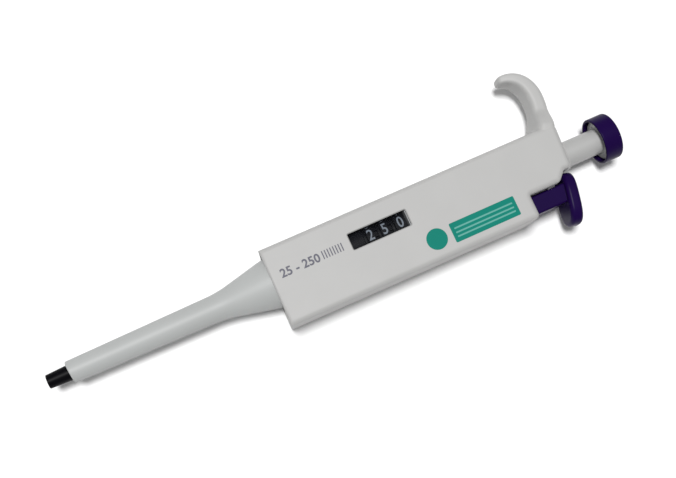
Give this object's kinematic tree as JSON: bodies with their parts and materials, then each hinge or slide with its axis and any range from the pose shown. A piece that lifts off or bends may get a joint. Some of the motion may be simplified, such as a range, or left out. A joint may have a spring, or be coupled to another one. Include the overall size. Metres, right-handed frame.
{
  "type": "micropipette",
  "caption": "Adjustable air-displacement hand pipette with finger hook, digit counter window, press-and-turn button, side ejector button and sliding ejector sleeve.",
  "frame": {"origin": "middle of the underside of the bounding box of the pipette lying on its back", "axes": "+X along the plunger axis from the tip cone to the button, +Y towards the finger hook, +Z out of the front face with the counter window"},
  "size_m": [0.2366, 0.0662, 0.024],
  "materials": {
    "body_white": "satin moulded plastic, warm light grey-white",
    "sleeve_white": "smooth semi-gloss plastic, cool grey-white",
    "frame_grey": "plain grey technical plastic",
    "button_purple": "glossy deep purple plastic",
    "tip_black": "black plastic",
    "drum_black": "black plastic with white digits",
    "lens_clear": "clear plastic window",
    "steel": "polished stainless steel",
    "brass": "turned brass",
    "seal_white": "low-friction white plastic",
    "rubber_black": "black rubber"
  },
  "bodies": {
    "casing": {"housing": "body_white", "end_cover": "body_white", "window_lens": "lens_clear", "neck_bush": "frame_grey", "chassis": "frame_grey", "spindle_nut": "brass", "pinion_shaft": "steel", "counter_spacer": "drum_black", "tip_cone": "tip_black", "shaft": "frame_grey", "o_ring": "rubber_black", "piston_seal": "seal_white", "seal_retainer": "steel", "spring_housing": "frame_grey", "return_spring": "steel", "blowout_spring": "steel", "ejector_spring": "steel", "cover_screw_1": "steel", "cover_screw_2": "steel", "chassis_screw_1": "steel", "chassis_screw_2": "steel", "chassis_screw_3": "steel", "chassis_screw_4": "steel"},
    "plunger": {"piston": "steel", "piston_head": "frame_grey", "push_rod": "steel"},
    "button": {"button_stem": "sleeve_white", "button_cap": "button_purple"},
    "units_wheel": {"units_drum": "drum_black"},
    "volume_spindle": {"spindle": "brass"},
    "tens_wheel": {"tens_drum": "drum_black"},
    "hundreds_wheel": {"hundreds_drum": "drum_black"},
    "tens_transfer": {"tens_pinion": "frame_grey"},
    "hundreds_transfer": {"hundreds_pinion": "frame_grey"},
    "ejector": {"ejector_button": "button_purple", "ejector_bar": "steel", "ejector_sleeve": "sleeve_white"}
  },
  "joints": [
    {"name": "plunger_press", "type": "slide", "parent": "casing", "child": "plunger", "axis": [-1, 0, 0], "range_m": [0, 0.0152], "stiffness_N_per_m": 300, "springref_m": -0.008, "deforming": ["return_spring", "blowout_spring"]},
    {"name": "button_turn", "type": "hinge", "parent": "plunger", "child": "button", "pos_m": [0.1117, -0.00576, 0.012], "axis": [1, 0, 0], "range_deg": [-8100.1, 0.1]},
    {"name": "units_turn", "type": "hinge", "parent": "casing", "child": "units_wheel", "pos_m": [0.02325, -0.00576, 0.012], "axis": [1, 0, 0], "range_deg": [-8100.1, 0.1]},
    {"name": "spindle_travel", "type": "slide", "parent": "units_wheel", "child": "volume_spindle", "axis": [1, 0, 0], "range_m": [-0.01125, 0]},
    {"name": "tens_turn", "type": "hinge", "parent": "casing", "child": "tens_wheel", "pos_m": [0.0174, -0.00576, 0.012], "axis": [1, 0, 0], "range_deg": [-810.1, 0.1]},
    {"name": "hundreds_turn", "type": "hinge", "parent": "casing", "child": "hundreds_wheel", "pos_m": [0.01155, -0.00576, 0.012], "axis": [1, 0, 0], "range_deg": [-81.1, 0.1]},
    {"name": "tens_pinion_turn", "type": "hinge", "parent": "casing", "child": "tens_transfer", "pos_m": [0.0202, -0.01395, 0.00582], "axis": [1, 0, 0], "range_deg": [-0.1, 2025.1]},
    {"name": "hundreds_pinion_turn", "type": "hinge", "parent": "casing", "child": "hundreds_transfer", "pos_m": [0.0144, -0.01395, 0.00582], "axis": [1, 0, 0], "range_deg": [-0.1, 202.6]},
    {"name": "ejector_press", "type": "slide", "parent": "casing", "child": "ejector", "axis": [-1, 0, 0], "range_m": [0, 0.008], "stiffness_N_per_m": 350, "springref_m": -0.006, "deforming": ["ejector_spring"]}
  ],
  "couplings": [
    {"joint": "button_turn", "follows": "spindle_travel", "rad_per_m": 12566},
    {"joint": "units_turn", "follows": "spindle_travel", "rad_per_m": 12566},
    {"joint": "tens_turn", "follows": "spindle_travel", "rad_per_m": 1256.6},
    {"joint": "hundreds_turn", "follows": "spindle_travel", "rad_per_m": 125.66},
    {"joint": "tens_pinion_turn", "follows": "spindle_travel", "rad_per_m": -3141.6},
    {"joint": "hundreds_pinion_turn", "follows": "spindle_travel", "rad_per_m": -314.16}
  ]
}
